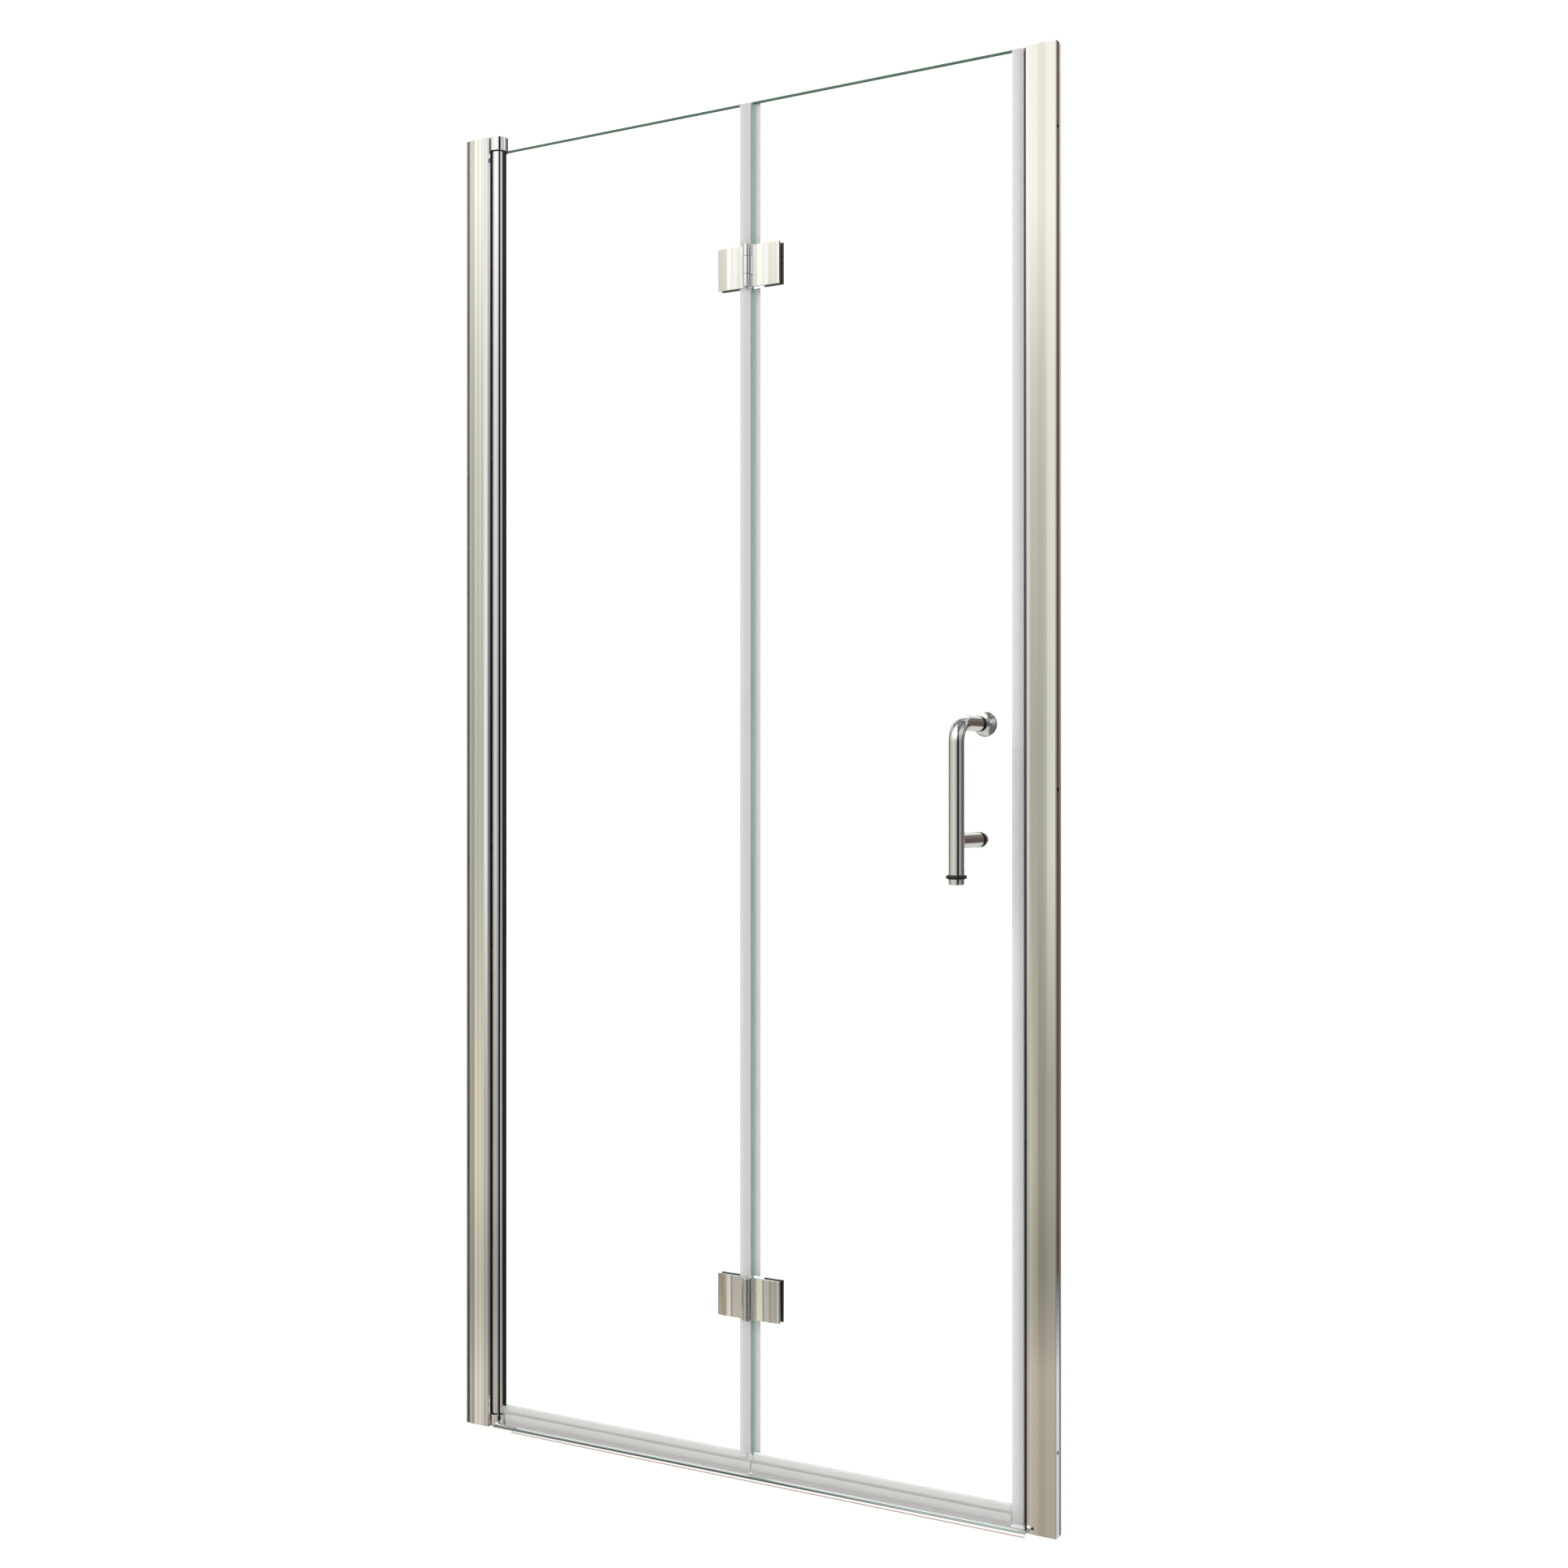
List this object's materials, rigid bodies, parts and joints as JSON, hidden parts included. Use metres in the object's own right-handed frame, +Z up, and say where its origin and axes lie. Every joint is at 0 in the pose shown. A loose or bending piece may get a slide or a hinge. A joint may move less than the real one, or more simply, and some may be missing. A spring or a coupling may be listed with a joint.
{
  "type": "bifold shower door",
  "caption": "Bifold glass shower door for an alcove: pivoting leaf on a round post, folding leaf on glass hinges, magnetic strike profile, sweeps, threshold bar and bent pull handle.",
  "frame": {"origin": "the left wall plane, at floor level, in the middle plane of the closed glass", "axes": "+X along the door from the pivot side wall to the strike side wall, +Y into the shower, +Z up"},
  "size_m": [0.9, 0.1033, 1.852],
  "materials": {
    "polished_profile": "mirror polished",
    "chrome": "polished",
    "channel": "satin",
    "steel": "plain",
    "magnet": "satin",
    "sill": "mirror polished",
    "bush": "plain",
    "black_rubber": "matt",
    "glass": "clear",
    "seal": "frosted",
    "soft_seal": "frosted soft PVC"
  },
  "bodies": {
    "frame": {"hinge_wall_channel": "channel", "hinge_side_profile": "polished_profile", "hinge_side_screws": "steel", "top_pivot_cap": "chrome", "bottom_pivot_cap": "chrome", "pivot_pins": "steel", "strike_wall_channel": "channel", "strike_profile": "polished_profile", "strike_magnet_strip": "magnet", "strike_side_screws": "steel", "threshold_bar": "sill", "threshold_end_cap": "sill"},
    "hinged_leaf": {"pivot_post": "polished_profile", "pivot_bushes": "bush", "post_gasket": "black_rubber", "hinged_glass": "glass", "centre_seal": "seal", "hinged_sweep_clip": "seal", "hinged_sweep_fin": "soft_seal", "upper_hinge_left_plate": "chrome", "lower_hinge_left_plate": "chrome", "left_back_plates": "chrome", "left_hinge_gaskets": "black_rubber", "left_hinge_screws": "steel", "hinge_pins": "steel"},
    "folding_leaf": {"folding_glass": "glass", "magnetic_seal": "seal", "seal_magnet": "magnet", "seal_foot": "soft_seal", "folding_sweep_clip": "seal", "folding_sweep_fin": "soft_seal", "upper_hinge_right_plate": "chrome", "lower_hinge_right_plate": "chrome", "right_back_plates": "chrome", "right_hinge_gaskets": "black_rubber", "right_hinge_screws": "steel", "handle_bar": "chrome", "handle_lower_post": "chrome", "handle_tip_plug": "chrome", "handle_ring": "black_rubber", "handle_washers": "black_rubber", "handle_studs": "steel", "rear_knob": "chrome", "rear_cap": "chrome"}
  },
  "joints": [
    {"name": "pivot", "type": "hinge", "parent": "frame", "child": "hinged_leaf", "pos_m": [0.044, 0, 0.9], "axis": [0, 0, 1], "range_deg": [0, 90]},
    {"name": "fold", "type": "hinge", "parent": "hinged_leaf", "child": "folding_leaf", "pos_m": [0.464, -0.011, 0.9], "axis": [0, 0, -1], "range_deg": [0, 169], "deforming": ["folding_sweep_fin", "seal_foot"]}
  ]
}
